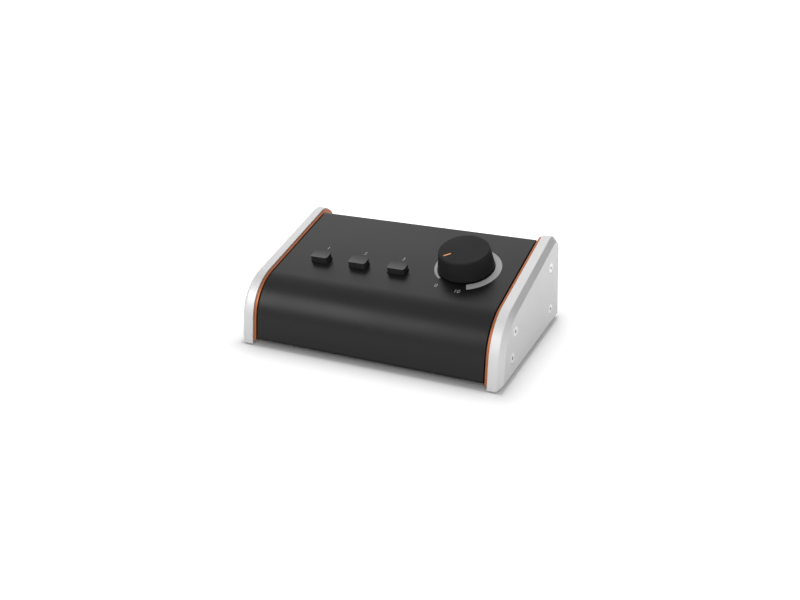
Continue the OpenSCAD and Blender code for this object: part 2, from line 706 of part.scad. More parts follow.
// Insert with three contact holes round the bore for a 6.35 mm plug
module input_insert(x) color([0.16, 0.16, 0.17]) on_rear(x, socket_z) difference() {
  union() {
    translate([0, 0, collar_h - plug_l]) cylinder(d = insert_d, h = plug_l - 0.4);
    translate([0, 0, collar_h - plug_l - tail_l]) cylinder(d = tail_d, h = tail_l + 1);
  }
  translate([0, 0, collar_h - plug_l - tail_l + 1]) cylinder(d = jack_d, h = plug_l + tail_l);
  for (a = pin_angles) rotate([0, 0, a]) translate([pin_circle / 2, 0, collar_h - plug_l + 1.5])
    cylinder(d = pin_d + 2 * hole_gap, h = plug_l);
}

module input_insert_left() input_insert(inputs[0]);
module input_insert_right() input_insert(inputs[1]);

module input_latch(x) color([0.3, 0.3, 0.31]) on_rear(x, socket_z) translate([0, latch_up, 0])
  rotate([0, 90, 0]) translate([0, 0, -latch_w / 2]) linear_extrude(latch_w) soft_polygon(
    [[-latch_out, -latch_h / 2], [-latch_out, latch_h / 2], [tray_t + latch_in, latch_h / 2],
      [tray_t + latch_in, -latch_h / 2]], [0.8, 0.8, 0, 0]);

module input_latch_left() input_latch(inputs[0]);
module input_latch_right() input_latch(inputs[1]);

module output_socket(x) color([0.13, 0.13, 0.14]) on_rear(x, socket_z) difference() {
  socket_housing();
  for (a = pin_angles) rotate([0, 0, a]) translate([pin_circle / 2, 0, -tray_t - socket_l - overlap])
    cylinder(d = pin_d + 2 * run_gap, h = socket_l);
}

module output_socket_left() output_socket(outputs[0]);
module output_socket_right() output_socket(outputs[1]);

module output_pins(x) color([0.85, 0.83, 0.78]) on_rear(x, socket_z) for (a = pin_angles)
  rotate([0, 0, a]) translate([pin_circle / 2, 0, 0]) rotate_extrude() soft_polygon(
    [[0, -tray_t - socket_l - 3], [0, collar_h - 1], [pin_d / 2, collar_h - 1],
      [pin_d / 2, -tray_t - socket_l - 3]], [0, 0, 0.9, 0]);

module output_pins_left() output_pins(outputs[0]);
module output_pins_right() output_pins(outputs[1]);

module mini_socket() color([0.12, 0.12, 0.13]) on_rear(mini_x, mini_z) difference() {
  union() {
    slab(-mini_w / 2, mini_w / 2, -mini_up, mini_up, -tray_t - mini_l, -tray_t);
    translate([0, 0, -tray_t]) cylinder(d = mini_nose_d, h = tray_t + mini_nose_l);
  }
  translate([0, 0, -tray_t - mini_l + 1]) cylinder(d = mini_d, h = mini_l + tray_t + mini_nose_l);
}

module mini_socket_nut() color([0.75, 0.75, 0.75]) on_rear(mini_x, mini_z) difference() {
  cylinder(d = mini_nose_d + 2.4, h = mini_nut_h);
  translate([0, 0, -overlap]) cylinder(d = mini_nose_d + 2 * run_gap, h = mini_nut_h + 2 * overlap);
  for (a = [0, 90]) rotate([0, 0, a]) slab(-mini_nose_d, mini_nose_d, -0.5, 0.5, mini_nut_h - 0.8, mini_nut_h + 1);
}

module socket_screws() color([0.15, 0.15, 0.16]) at_socket_screws() pan_screw(tap_l, tap_d);

/* ---- ribbon cable ---- */

// Points on one side of the bend, at a radius r about its centre
function bend_points(r, n = 16) = [for (k = [0:n]) let (a = -90 - (180 - slope_a) * k / n)
  bend_c + r * [cos(a), sin(a)]];

module ribbon_section() {
  outside = bend_points(bend_r + ribbon_t / 2);
  inside = bend_points(bend_r - ribbon_t / 2);
  n = len(outside) - 1;
  polygon(concat(
    [outside[0] + [ribbon_run, 0]],
    outside,
    [outside[n] + ribbon_run * along, inside[n] + ribbon_run * along],
    [for (k = [0:n]) inside[n - k]],
    [inside[0] + [ribbon_run, 0]]
  ));
}

module ribbon_cable() color([0.6, 0.6, 0.62]) raised()
  across(ribbon_x - ribbon_w / 2, ribbon_w) ribbon_section();

// Blocks of one height under both runs of the ribbon, z0 away from the boards
module ribbon_blocks(z0, h) {
  raised() slab(ribbon_x - plug_w / 2, ribbon_x + plug_w / 2, ribbon_bend_y, ribbon_bend_y + ribbon_run,
    board_top + z0, board_top + z0 + h);
  on_panel(0, 0) slab(ribbon_x - plug_w / 2, ribbon_x + plug_w / 2, -bend_s, -bend_s + ribbon_run,
    panel_board_top - board_t - z0 - h, panel_board_top - board_t - z0);
}

module ribbon_headers() color([0.1, 0.1, 0.1]) ribbon_blocks(0, header_h);
module ribbon_plugs() color([0.3, 0.3, 0.32]) ribbon_blocks(header_h, plug_h);

top_cover();
chassis_tray();
left_cheek();
right_cheek();
left_trim_plate();
right_trim_plate();
cheek_screws();
cheek_nuts();
cover_screws();
cover_nuts();
volume_knob();
knob_pointer();
pot_shaft();
pot_bush();
pot_case();
pot_wafers();
pot_washer();
pot_nut();
button_cap_1();
button_cap_2();
button_cap_3();
switch_plunger_1();
switch_plunger_2();
switch_plunger_3();
switch_body_1();
switch_body_2();
switch_body_3();
panel_board();
panel_spacers();
panel_board_screws();
main_board();
main_spacers();
main_board_screws();
input_socket_left();
input_socket_right();
input_insert_left();
input_insert_right();
input_latch_left();
input_latch_right();
output_socket_left();
output_socket_right();
output_pins_left();
output_pins_right();
mini_socket();
mini_socket_nut();
socket_screws();
ribbon_cable();
ribbon_plugs();
ribbon_headers();
foot_front_left();
foot_front_right();
foot_rear_left();
foot_rear_right();
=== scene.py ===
"""The looks of a small studio monitor controller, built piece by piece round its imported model."""

import json
import math

import bmesh
import bpy
from bpy.props import FloatProperty, FloatVectorProperty, PointerProperty
from bpy.types import Operator, Panel, PropertyGroup
from mathutils import Matrix, Vector


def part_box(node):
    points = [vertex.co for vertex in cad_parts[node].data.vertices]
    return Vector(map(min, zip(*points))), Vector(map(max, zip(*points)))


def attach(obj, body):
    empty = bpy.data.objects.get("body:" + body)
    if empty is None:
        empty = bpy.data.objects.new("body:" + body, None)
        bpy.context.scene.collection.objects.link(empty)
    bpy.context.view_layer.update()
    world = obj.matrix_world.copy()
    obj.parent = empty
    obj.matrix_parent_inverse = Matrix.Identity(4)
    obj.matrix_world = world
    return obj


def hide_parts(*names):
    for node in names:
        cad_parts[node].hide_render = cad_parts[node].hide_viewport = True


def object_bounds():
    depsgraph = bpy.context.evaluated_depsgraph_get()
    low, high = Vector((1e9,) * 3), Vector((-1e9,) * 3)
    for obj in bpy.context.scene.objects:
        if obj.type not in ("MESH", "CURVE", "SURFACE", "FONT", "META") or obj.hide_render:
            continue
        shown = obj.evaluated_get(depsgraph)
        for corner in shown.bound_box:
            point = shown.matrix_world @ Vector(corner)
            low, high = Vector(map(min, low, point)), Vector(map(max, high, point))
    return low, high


bl_info = {
    "name": "Monitor Controller",
    "version": (1, 0, 0),
    "blender": (4, 5, 0),
    "location": "3D View > Sidebar > Controller",
    "description": "Builds the visible pieces, finishes and stage of a desktop monitor controller",
    "category": "Object",
}

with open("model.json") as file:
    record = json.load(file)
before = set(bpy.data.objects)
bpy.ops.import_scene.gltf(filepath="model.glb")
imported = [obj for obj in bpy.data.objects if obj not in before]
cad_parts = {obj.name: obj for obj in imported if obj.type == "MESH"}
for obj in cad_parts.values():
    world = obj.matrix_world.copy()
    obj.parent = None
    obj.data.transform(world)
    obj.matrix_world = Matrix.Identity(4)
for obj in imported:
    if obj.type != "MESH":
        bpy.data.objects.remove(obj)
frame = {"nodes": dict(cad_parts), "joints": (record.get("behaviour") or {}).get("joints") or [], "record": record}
CAD_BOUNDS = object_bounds()

MM = 0.001
MICRON = 0.000001
FULL_TURN = 2 * math.pi
# How far a wave texture turns in a metre at a scale of 1, in radians
WAVE_TURN = 20
ARC_STEP = math.radians(2.5)
SHARP_ANGLE = math.radians(30)
FLAT_ANGLE = math.radians(0.5)
HOLE_STEPS = 48
TURNED_STEPS = 128
DISH_STEPS = 256
SCALE_STEPS = 150

# The panel's own frame: its origin is on the knob's axis, X to the right, Y up the slope
JOINTS = {joint["name"]: joint for joint in frame["joints"]}
KNOB_PLACE = Vector(JOINTS["volume_turn"]["pos_m"])
PANEL_NORMAL = -Vector(JOINTS["volume_turn"]["axis"])
SLOPE = math.atan2(-PANEL_NORMAL.y, PANEL_NORMAL.z)
PANEL = Matrix.Translation(KNOB_PLACE) @ Matrix.Rotation(SLOPE, 4, "X")

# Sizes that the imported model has, written here because its boxes do not hold them
LEAN = math.radians(10)
SHOULDER_RADIUS = 27.5 * MM
REAR_RADIUS = 9 * MM
FOLD_RADIUS = 2 * MM
COVER_THICKNESS = 1.5 * MM
COVER_STEP = 1.0 * MM
TRIM_STEP = 0.9 * MM
CHEEK_CHAMFER = 2.8 * MM
REAR_LIP = 9 * MM
FLOOR_LIP = 14 * MM
BUTTON_GAP = 0.3 * MM
BUTTON_CORNER = 1.4 * MM
BUTTONS = (1, 2, 3)

# The knob: from its axis, or from the panel's face upwards
KNOB_TAPER = 1.65 * MM
KNOB_WALL = 2.2 * MM
KNOB_ROOF = 2.0 * MM
KNOB_BOSS = 5.5 * MM
KNOB_BOSS_FOOT = 3.6 * MM
KNOB_LOWER_EDGE = 0.4 * MM
POINTER_LENGTH = 4.4 * MM
POINTER_WIDTH = 1.1 * MM
POINTER_DEPTH = 0.6 * MM
POINTER_SLOT_CORNER = 0.3 * MM
POINTER_CORNER = 0.28 * MM
POINTER_PLAY = 0.03 * MM

# Room that the scene's own cuts leave round what stands in them
HOLE_CLEARANCE = 0.2 * MM
CUT_PAST = 0.1 * MM

# Radius of the shallow cylinder that dishes a button cap
DISH_RADIUS = 22 * MM

# Small rounds of pieces without a setting of their own
TRIM_EDGE = 0.15 * MM
TURNED_EDGE = 0.12 * MM
POINTER_EDGE = 0.06 * MM

# Height of a digit as a share of its font's size
DIGIT_SHARE = 0.7
# Within this angle before a full turn, a point of the scale counts as its quiet end
SCALE_END_PLAY = 0.01
# How far on each side a stripe fades into the next, as a share of the wave
STRIPE_BLUR = 0.05

# Where the lamps and the card point
STAGE_MIDDLE = Vector((0, 0, 0.03))
# Half the width of the floor, and how steeply its added light rises beside the object
FLOOR_REACH = 4.0
LIFT_POWER = 0.35


# ---- settings a user would change -------------------------------------------------------------

def length(name, description, default):
    return FloatProperty(name=name, description=description, default=default, unit="LENGTH", precision=5)


def tint(name, description, default):
    return FloatVectorProperty(name=name, description=description, default=default, size=3,
                               subtype="COLOR", min=0, max=1)


def amount(name, description, default, top=1.0):
    return FloatProperty(name=name, description=description, default=default, min=0, max=top)


def angle(name, description, degrees):
    return FloatProperty(name=name, description=description, default=math.radians(degrees), subtype="ANGLE")


class ControllerShape(PropertyGroup):
    """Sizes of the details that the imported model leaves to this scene."""

    sheet_edge: length("Sheet edge", "Round along the edges of the bent cover", 0.25 * MM)
    cheek_edge: length("Cheek edge", "Round along the edges of the cheeks", 0.22 * MM)
    knob_edge: length("Knob edge", "Round between the top and the side of the knob", 0.9 * MM)
    cap_edge: length("Cap edge", "Round along the top edge of a button cap", 0.55 * MM)
    cap_dish: length("Cap dish", "How deep the top of a button cap is dished", 0.35 * MM)
    ink: length("Ink", "Thickness of the printed marks", 0.03 * MM)
    scale_inner: length("Scale inner radius", "Inner radius of the printed volume scale", 16.0 * MM)
    scale_thin: length("Scale thin end", "Outer radius of the scale at its quiet end", 17.2 * MM)
    scale_wide: length("Scale wide end", "Outer radius of the scale at its loud end", 20.4 * MM)
    scale_start: angle("Scale start", "Direction of the quiet end, from the right towards the back", 230.5)
    scale_end: angle("Scale end", "Direction of the loud end, from the right towards the back", -69.0)
    numeral: length("Numeral height", "Height of the printed numbers", 2.6 * MM)
    numeral_gap: length("Numeral gap", "From a button's middle to its number", 11.4 * MM)
    numeral_shift: length("Numeral shift", "How far left of its button a number stands", 1.6 * MM)
    scale_number: length("Scale number", "From the knob's axis to the numbers of its scale", 21.8 * MM)
    zero_at: angle("Zero", "Direction of the number at the quiet end", 243)
    ten_at: angle("Ten", "Direction of the number at the loud end", 278)


class ControllerFinish(PropertyGroup):
    """Colours and gloss of the outer pieces."""

    cover: tint("Cover", "Powder coat of the cover", (0.006, 0.006, 0.0062))
    cover_rough: amount("Cover roughness", "Roughness of the powder coat", 0.34)
    tray: tint("Tray", "Powder coat of the tray", (0.02, 0.02, 0.021))
    cheek: tint("Cheek", "Bead-blasted aluminium", (0.64, 0.64, 0.64))
    cheek_rough: amount("Cheek roughness", "Roughness of the blasted aluminium", 0.5)
    trim: tint("Trim", "Anodised spacer plates", (0.34, 0.105, 0.036))
    knob: tint("Knob", "Matt black of the knob", (0.007, 0.007, 0.0072))
    pointer: tint("Pointer", "Filled line in the knob", (0.90, 0.33, 0.11))
    cap: tint("Cap", "Black of the button caps", (0.012, 0.012, 0.0122))
    ink: tint("Ink", "Grey of the printed marks", (0.40, 0.40, 0.41))


class ControllerStage(PropertyGroup):
    """Camera, lamps and floor."""

    camera_place: FloatVectorProperty(name="Camera place", description="Where the camera stands",
                                      default=(0.2242, -0.4478, 0.24865), size=3, unit="LENGTH")
    camera_yaw: angle("Camera yaw", "Turn of the camera to the left", 26.49)
    camera_pitch: angle("Camera pitch", "Tilt of the camera, up is positive", -21.14)
    camera_roll: angle("Camera roll", "Turn about the line of sight", -2.34)
    lens: FloatProperty(name="Lens", description="Focal length in mm on a 36 mm sensor", default=43.68)
    shift_up: FloatProperty(name="Shift", description="Vertical shift of the frame", default=-0.075)
    room: amount("Room light", "Strength of the light from all round", 0.3, 5.0)
    top_lamp: amount("Top lamp", "Wide lamp overhead, in watts", 5.0, 100)
    back_lamp: amount("Back lamp", "Lamp behind on the left, in watts", 1.9, 100)
    band_lamp: amount("Band lamp", "Lamp in front on the left, in watts", 3.8, 100)
    side_lamp: amount("Side lamp", "Lamp in front on the right, in watts", 4.0, 100)
    floor: tint("Floor", "Colour of the floor", (0.86, 0.86, 0.86))
    floor_lift: amount("Floor lift", "Light that the floor adds far from the object", 1.5, 2.0)
    lift_reach: length("Lift reach", "How far from the object the floor adds that light", 0.5)


def shape():
    return bpy.context.scene.controller_shape


def finish():
    return bpy.context.scene.controller_finish


def stage():
    return bpy.context.scene.controller_stage


# ---- outlines and meshes ----------------------------------------------------------------------

def rounded_line(corners, radii):
    """Points of a closed line through the corners, with an arc of its own radius at each of them."""
    points = []
    for i, radius in enumerate(radii):
        here = Vector(corners[i])
        if radius == 0:
            points.append(here)
            continue
        back = (Vector(corners[i - 1]) - here).normalized()
        on = (Vector(corners[(i + 1) % len(corners)]) - here).normalized()
        half = back.angle(on) / 2
        centre = here + (back + on).normalized() * (radius / math.sin(half))
        spoke = here + back * (radius / math.tan(half)) - centre
        turn = -math.copysign(math.pi - 2 * half, back.cross(on))
        steps = max(4, math.ceil(abs(turn) / ARC_STEP))
        points += [centre + Matrix.Rotation(turn * k / steps, 2) @ spoke for k in range(steps + 1)]
    return points


def slope_height(y, step):
    """Height at a place y of the plane that lies a step below the panel's face."""
    return KNOB_PLACE.z + (y - KNOB_PLACE.y) * math.tan(SLOPE) - step / math.cos(SLOPE)


def front_place(z, step):
    """Place at a height z of the plane that lies a step behind the cover's front."""
    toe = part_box("right_cheek")[0]
    return toe.y + (z - toe.z) * math.tan(LEAN) + (step + COVER_STEP) / math.cos(LEAN)


def wedge_corners(step, floor, rear):
    """Corners of the wedge from the side, a step inside the cover's outline: toe, shoulder, rear, heel."""
    drop = slope_height(0, step)
    meet = (front_place(0, step) + math.tan(LEAN) * drop) / (1 - math.tan(LEAN) * math.tan(SLOPE))
    return [(front_place(floor, step), floor), (meet, slope_height(meet, step)),
            (rear, slope_height(rear, step)), (rear, floor)]


def filled(points, place):
    """A new mesh with one face through the points, each put in its place."""
    mesh = bmesh.new()
    mesh.faces.new([mesh.verts.new(place(point)) for point in points])
    return mesh


def pulled(mesh, faces, vector):
    """Extrudes the faces along a vector and returns the moved faces."""
    made = bmesh.ops.extrude_face_region(mesh, geom=faces)["geom"]
    bmesh.ops.translate(mesh, verts=[v for v in made if isinstance(v, bmesh.types.BMVert)], vec=vector)
    bmesh.ops.recalc_face_normals(mesh, faces=mesh.faces)
    return [f for f in made if isinstance(f, bmesh.types.BMFace)]


def plate(points, x0, x1):
    """A plate with that outline in side view, from x0 to x1."""
    mesh = filled(points, lambda p: (x0, p.x, p.y))
    pulled(mesh, mesh.faces[:], (x1 - x0, 0, 0))
    return mesh


def turned(points):
    """A solid turned about Z from points that give radius and height, from the axis back to the axis."""
    mesh = bmesh.new()
    verts = [mesh.verts.new((p[0], 0, p[1])) for p in points]
    edges = [mesh.edges.new(pair) for pair in zip(verts, verts[1:])]
    bmesh.ops.spin(mesh, geom=verts + edges, axis=(0, 0, 1), cent=(0, 0, 0), dvec=(0, 0, 0),
                   angle=FULL_TURN, steps=TURNED_STEPS, use_merge=True, use_duplicate=False)
    bmesh.ops.remove_doubles(mesh, verts=mesh.verts, dist=MICRON)
    bmesh.ops.recalc_face_normals(mesh, faces=mesh.faces)
    return mesh


def rounded_box(width, depth, radius, low, high):
    """A box round the origin with upright edges of that radius."""
    w, d = width / 2, depth / 2
    points = rounded_line([(-w, -d), (w, -d), (w, d), (-w, d)], [radius] * 4)
    mesh = filled(points, lambda p: (p.x, p.y, low))
    pulled(mesh, mesh.faces[:], (0, 0, high - low))
    return mesh


def joined(meshes):
    """One mesh that holds all the others, which are freed."""
    whole = bmesh.new()
    for mesh in meshes:
        data = bpy.data.meshes.new("part")
        mesh.to_mesh(data)
        mesh.free()
        whole.from_mesh(data)
        bpy.data.meshes.remove(data)
    return whole


def placed(mesh, matrix):
    bmesh.ops.transform(mesh, matrix=matrix, verts=mesh.verts)
    if matrix.determinant() < 0:
        bmesh.ops.recalc_face_normals(mesh, faces=mesh.faces)
    return mesh


def new_object(name, mesh):
    data = bpy.data.meshes.new(name)
    mesh.to_mesh(data)
    mesh.free()
    piece = bpy.data.objects.new(name, data)
    bpy.context.scene.collection.objects.link(piece)
    return piece


def carved(mesh, cutters):
    """The mesh less the cutters, which is one mesh of closed shapes that lie apart."""
    body, tool = new_object("carve_body", mesh), new_object("carve_tool", cutters)
    cut = body.modifiers.new("carve", "BOOLEAN")
    cut.operation = "DIFFERENCE"
    cut.solver = "EXACT"
    cut.object = tool
    bpy.context.view_layer.update()
    result = bmesh.new()
    result.from_object(body, bpy.context.evaluated_depsgraph_get())
    for used in (body, tool):
        data = used.data
        bpy.data.objects.remove(used)
        bpy.data.meshes.remove(data)
    bmesh.ops.remove_doubles(result, verts=result.verts, dist=MICRON)
    return result


def copied(node):
    """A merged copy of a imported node's mesh, with its flat faces whole."""
    mesh = bmesh.new()
    mesh.from_mesh(frame["nodes"][node].data)
    bmesh.ops.remove_doubles(mesh, verts=mesh.verts, dist=MICRON)
    bmesh.ops.dissolve_limit(mesh, angle_limit=FLAT_ANGLE, use_dissolve_boundaries=False,
                             verts=mesh.verts, edges=mesh.edges, delimit=set())
    return mesh


def body_of(node):
    return next(name for name, members in frame["record"]["behaviour"]["bodies"].items() if node in members)


def slot_of(node):
    return next(part["material_slot"] for part in frame["record"]["subparts"] if part["node"] == node)


def finished(name, mesh, material, node, edge=0.0, segments=3, stands_for=True):
    """Turns a mesh into a piece that rides with a node's body and, where it stands for it, hides it."""
    piece = new_object(name, mesh)
    piece.data.materials.append(material)
    piece.data.shade_smooth()
    piece.data.set_sharp_from_angle(angle=SHARP_ANGLE)
    if edge:
        bevel = piece.modifiers.new("edge", "BEVEL")
        bevel.width = edge
        bevel.segments = segments
        bevel.limit_method = "ANGLE"
        bevel.angle_limit = SHARP_ANGLE
        bevel.harden_normals = True
    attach(piece, body_of(node))
    if stands_for:
        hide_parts(node)
    return piece


def islands(node):
    """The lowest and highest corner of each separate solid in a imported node."""
    mesh = copied(node)
    left, found = set(mesh.verts), []
    while left:
        todo, seen = [left.pop()], []
        while todo:
            vert = todo.pop()
            seen.append(vert)
            near = {edge.other_vert(vert) for edge in vert.link_edges} & left
            left -= near
            todo += near
        found.append(tuple(Vector([pick(v.co[i] for v in seen) for i in range(3)]) for pick in (min, max)))
    mesh.free()
    return found


# ---- materials --------------------------------------------------------------------------------

def node_in(tree, kind, values=(), **settings):
    """A new node with its settings and the values of its input sockets, by name or number."""
    node = tree.nodes.new(kind)
    for name, value in settings.items():
        setattr(node, name, value)
    for name, value in dict(values).items():
        node.inputs[name].default_value = value
    return node


def grain_group():
    """A fine grain: how light each spot is, and the bumps that go with it."""
    known = bpy.data.node_groups.get("fine_grain")
    if known:
        return known
    tree = bpy.data.node_groups.new("fine_grain", "ShaderNodeTree")
    face = tree.interface
    face.new_socket("Place", in_out="INPUT", socket_type="NodeSocketVector")
    face.new_socket("Grains per metre", in_out="INPUT", socket_type="NodeSocketFloat")
    face.new_socket("Depth", in_out="INPUT", socket_type="NodeSocketFloat")
    face.new_socket("Shade", in_out="OUTPUT", socket_type="NodeSocketFloat")
    face.new_socket("Normal", in_out="OUTPUT", socket_type="NodeSocketVector")
    given = node_in(tree, "NodeGroupInput")
    result = node_in(tree, "NodeGroupOutput")
    noise = node_in(tree, "ShaderNodeTexNoise", {"Detail": 4.0, "Roughness": 0.6})
    spread = node_in(tree, "ShaderNodeMapRange", {"From Min": 0.3, "From Max": 0.7})
    bump = node_in(tree, "ShaderNodeBump", {"Strength": 1.0})
    link = tree.links.new
    link(given.outputs["Place"], noise.inputs["Vector"])
    link(given.outputs["Grains per metre"], noise.inputs["Scale"])
    link(noise.outputs["Fac"], spread.inputs["Value"])
    link(noise.outputs["Fac"], bump.inputs["Height"])
    link(given.outputs["Depth"], bump.inputs["Distance"])
    link(spread.outputs["Result"], result.inputs["Shade"])
    link(bump.outputs["Normal"], result.inputs["Normal"])
    return tree


def marks_group():
    """Large soft patches, such as handling leaves on a satin surface."""
    known = bpy.data.node_groups.get("handling_marks")
    if known:
        return known
    tree = bpy.data.node_groups.new("handling_marks", "ShaderNodeTree")
    face = tree.interface
    face.new_socket("Place", in_out="INPUT", socket_type="NodeSocketVector")
    face.new_socket("Patches per metre", in_out="INPUT", socket_type="NodeSocketFloat")
    face.new_socket("Mask", in_out="OUTPUT", socket_type="NodeSocketFloat")
    given = node_in(tree, "NodeGroupInput")
    result = node_in(tree, "NodeGroupOutput")
    noise = node_in(tree, "ShaderNodeTexNoise", {"Detail": 2.0, "Roughness": 0.5, "Distortion": 0.4})
    spread = node_in(tree, "ShaderNodeMapRange", {"From Min": 0.35, "From Max": 0.65})
    link = tree.links.new
    link(given.outputs["Place"], noise.inputs["Vector"])
    link(given.outputs["Patches per metre"], noise.inputs["Scale"])
    link(noise.outputs["Fac"], spread.inputs["Value"])
    link(spread.outputs["Result"], result.inputs["Mask"])
    return tree


def surface(name, colour, rough, grain=3000.0, depth=0.01 * MM, contrast=0.12, marks=45.0, spread=0.06,
            metal=0.0, specular=0.5):
    """A grained surface: the colour varies a little with the grain, the gloss with handling marks."""
    known = bpy.data.materials.get(f"{name}_finish")
    if known:
        return known
    material = bpy.data.materials.new(f"{name}_finish")
    material.use_nodes = True
    material.diffuse_color = (*colour, 1)
    tree = material.node_tree
    shader = tree.nodes["Principled BSDF"]
    shader.inputs["Metallic"].default_value = metal
    shader.inputs["Specular IOR Level"].default_value = specular
    place = node_in(tree, "ShaderNodeTexCoord")
    grains = node_in(tree, "ShaderNodeGroup", node_tree=grain_group())
    grains.inputs["Grains per metre"].default_value = grain
    grains.inputs["Depth"].default_value = depth
    patches = node_in(tree, "ShaderNodeGroup", node_tree=marks_group())
    patches.inputs["Patches per metre"].default_value = marks
    dark = [c * (1 - contrast) for c in colour]
    light = [min(1.0, c * (1 + contrast)) for c in colour]
    mix = node_in(tree, "ShaderNodeMix", data_type="RGBA")
    mix.inputs["A"].default_value = (*dark, 1)
    mix.inputs["B"].default_value = (*light, 1)
    gloss = node_in(tree, "ShaderNodeMapRange", {"To Min": rough - spread / 2, "To Max": rough + spread / 2})
    link = tree.links.new
    for group in (grains, patches):
        link(place.outputs["Object"], group.inputs["Place"])
    link(grains.outputs["Shade"], mix.inputs["Factor"])
    link(mix.outputs["Result"], shader.inputs["Base Color"])
    link(grains.outputs["Normal"], shader.inputs["Normal"])
    link(patches.outputs["Mask"], gloss.inputs["Value"])
    link(gloss.outputs["Result"], shader.inputs["Roughness"])
    return material


def cover_paint():
    return surface("cover_paint", finish().cover, finish().cover_rough, grain=2600, depth=0.006 * MM,
                   contrast=0.18, marks=30, spread=0.05, specular=0.24)


def tray_paint():
    return surface("tray_paint", finish().tray, 0.5, grain=2600, depth=0.012 * MM, contrast=0.18)


def blasted_aluminium():
    return surface("blasted_aluminium", finish().cheek, finish().cheek_rough, grain=5200, depth=0.006 * MM,
                   contrast=0.05, marks=40, spread=0.05, metal=0.45)


def orange_anodising():
    return surface("orange_anodising", finish().trim, 0.42, grain=5200, depth=0.005 * MM,
                   contrast=0.08, metal=0.6)


def knob_black():
    return surface("knob_black", finish().knob, 0.6, grain=3600, depth=0.006 * MM,
                   contrast=0.2, specular=0.17)


def pointer_orange():
    return surface("pointer_orange", finish().pointer, 0.4, grain=2500, depth=0.004 * MM, contrast=0.05)


def cap_black():
    return surface("cap_black", finish().cap, 0.42, grain=3600, depth=0.006 * MM, contrast=0.15, specular=0.5)


def printed_ink():
    return surface("printed_ink", finish().ink, 0.5, grain=5000, depth=0.003 * MM, contrast=0.06)


def black_oxide():
    return surface("black_oxide", (0.05, 0.05, 0.052), 0.4, grain=6000, depth=0.004 * MM,
                   contrast=0.2, metal=0.9)


def zinc_plate():
    return surface("zinc_plate", (0.66, 0.67, 0.69), 0.3, grain=4000, depth=0.003 * MM, contrast=0.1, metal=1)


def turned_steel():
    return surface("turned_steel", (0.62, 0.62, 0.63), 0.28, grain=7000, depth=0.002 * MM,
                   contrast=0.08, metal=1)


def plated_case():
    return surface("plated_case", (0.55, 0.54, 0.5), 0.35, grain=3000, depth=0.004 * MM,
                   contrast=0.1, metal=1)


def spacer_brass():
    return surface("spacer_brass", (0.62, 0.45, 0.2), 0.3, grain=5000, depth=0.003 * MM,
                   contrast=0.12, metal=1)


def wafer_brown():
    return surface("wafer_brown", (0.18, 0.08, 0.035), 0.6, grain=1500, depth=0.004 * MM, contrast=0.3)


def plunger_white():
    return surface("plunger_white", (0.72, 0.72, 0.68), 0.35, grain=2500, depth=0.003 * MM, contrast=0.05)


def switch_black():
    return surface("switch_black", (0.03, 0.03, 0.032), 0.45, grain=3000, depth=0.006 * MM, contrast=0.2)


def socket_black():
    return surface("socket_black", (0.017, 0.017, 0.018), 0.34, grain=3200, depth=0.006 * MM, contrast=0.2)


def latch_black():
    return surface("latch_black", (0.05, 0.05, 0.052), 0.4, grain=3200, depth=0.006 * MM, contrast=0.15)


def contact_silver():
    return surface("contact_silver", (0.82, 0.8, 0.75), 0.22, grain=6000, depth=0.002 * MM,
                   contrast=0.06, metal=1)


def header_black():
    return surface("header_black", (0.02, 0.02, 0.022), 0.5, grain=3000, depth=0.006 * MM, contrast=0.2)


def foot_rubber():
    return surface("foot_rubber", (0.018, 0.018, 0.018), 0.8, grain=2200, depth=0.02 * MM, contrast=0.25,
                   specular=0.3)


def striped(name, colour, other, rough, per_metre, axis, share, depth):
    """A surface with even stripes across one axis, such as a ribbon's wires or a board's tracks."""
    known = bpy.data.materials.get(f"{name}_finish")
    if known:
        return known
    material = surface(name, colour, rough)
    tree = material.node_tree
    shader = tree.nodes["Principled BSDF"]
    place = next(n for n in tree.nodes if n.bl_idname == "ShaderNodeTexCoord")
    wave = node_in(tree, "ShaderNodeTexWave", {"Scale": per_metre * FULL_TURN / WAVE_TURN},
                   wave_type="BANDS", bands_direction=axis)
    edge = node_in(tree, "ShaderNodeMapRange", {"From Min": share - STRIPE_BLUR,
                                                "From Max": share + STRIPE_BLUR})
    mix = node_in(tree, "ShaderNodeMix", data_type="RGBA")
    mix.inputs["B"].default_value = (*other, 1)
    bump = node_in(tree, "ShaderNodeBump", {"Distance": depth})
    link = tree.links.new
    below = shader.inputs["Base Color"].links[0].from_socket
    under = shader.inputs["Normal"].links[0].from_socket
    link(place.outputs["Object"], wave.inputs["Vector"])
    link(wave.outputs["Fac"], edge.inputs["Value"])
    link(edge.outputs["Result"], mix.inputs["Factor"])
    link(below, mix.inputs["A"])
    link(mix.outputs["Result"], shader.inputs["Base Color"])
    link(wave.outputs["Fac"], bump.inputs["Height"])
    link(under, bump.inputs["Normal"])
    link(bump.outputs["Normal"], shader.inputs["Normal"])
    return material


def board_green():
    return striped("board_green", (0.012, 0.1, 0.035), (0.03, 0.2, 0.08), 0.3, 400, "X", 0.7, 0.02 * MM)


def ribbon_grey():
    return striped("ribbon_grey", (0.3, 0.31, 0.33), (0.2, 0.21, 0.23), 0.45, 787, "X", 0.8, 0.2 * MM)


# ---- pieces -----------------------------------------------------------------------------------

class PieceOperator:
    """What all the operators share."""

    bl_options = {"REGISTER", "UNDO"}


